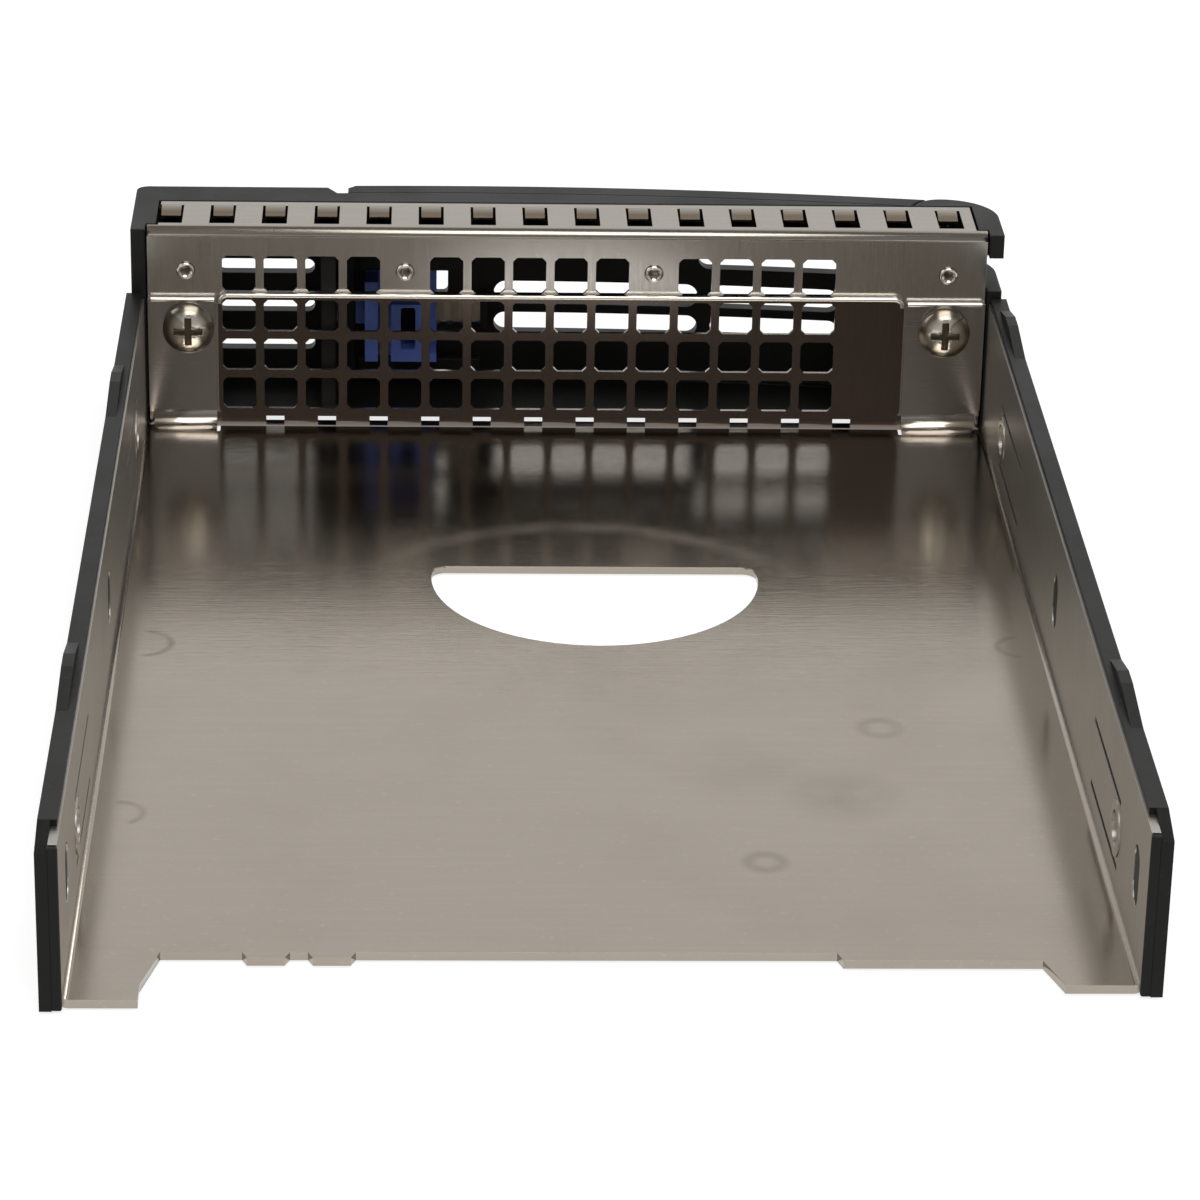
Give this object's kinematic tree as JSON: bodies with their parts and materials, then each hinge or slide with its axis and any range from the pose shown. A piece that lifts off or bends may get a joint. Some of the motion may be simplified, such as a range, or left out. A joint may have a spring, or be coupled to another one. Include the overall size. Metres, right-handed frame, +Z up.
{
  "type": "hard drive frame",
  "caption": "Hot-swap tray for a disk drive: folded steel pan, plastic side rails, perforated spring-finger shield and a bezel with a swinging ejector handle and a sliding latch.",
  "frame": {"origin": "centre of the bounding box on the plane the tray rests on", "axes": "+X across the tray to the side with the handle's pivot, +Y along the tray towards the bezel, +Z up"},
  "size_m": [0.1062, 0.1623, 0.0259],
  "materials": {
    "pan_steel": "mill-rolled sheet, satin grain across the tray",
    "shield_steel": "thin bright spring sheet",
    "rail_plastic": "moulded, lightly scuffed along its top edge",
    "black_plastic": "moulded, fine satin texture",
    "blue_plastic": "moulded, satin",
    "spring_steel": "drawn wire",
    "fastener_steel": "plated"
  },
  "bodies": {
    "frame": {"tray_pan": "pan_steel", "left_rail": "rail_plastic", "right_rail": "rail_plastic", "emi_shield": "shield_steel", "top_flange": "shield_steel", "foot_flange": "shield_steel", "bezel": "black_plastic", "pivot_pin": "fastener_steel", "front_screws": "fastener_steel", "shield_rivets": "fastener_steel"},
    "handle": {"ejector_handle": "black_plastic", "cam_plate": "pan_steel", "latch_spring": "spring_steel"},
    "latch": {"release_latch": "blue_plastic"}
  },
  "joints": [
    {"name": "handle_swing", "type": "hinge", "parent": "frame", "child": "handle", "pos_m": [0.046, 0.07375, 0.0199], "axis": [0, 0, -1], "range_deg": [0, 60]},
    {"name": "latch_slide", "type": "slide", "parent": "handle", "child": "latch", "axis": [1, 0, 0], "range_m": [0, 0.003], "stiffness_N_per_m": 300, "springref_m": -0.002, "deforming": ["latch_spring"]}
  ]
}
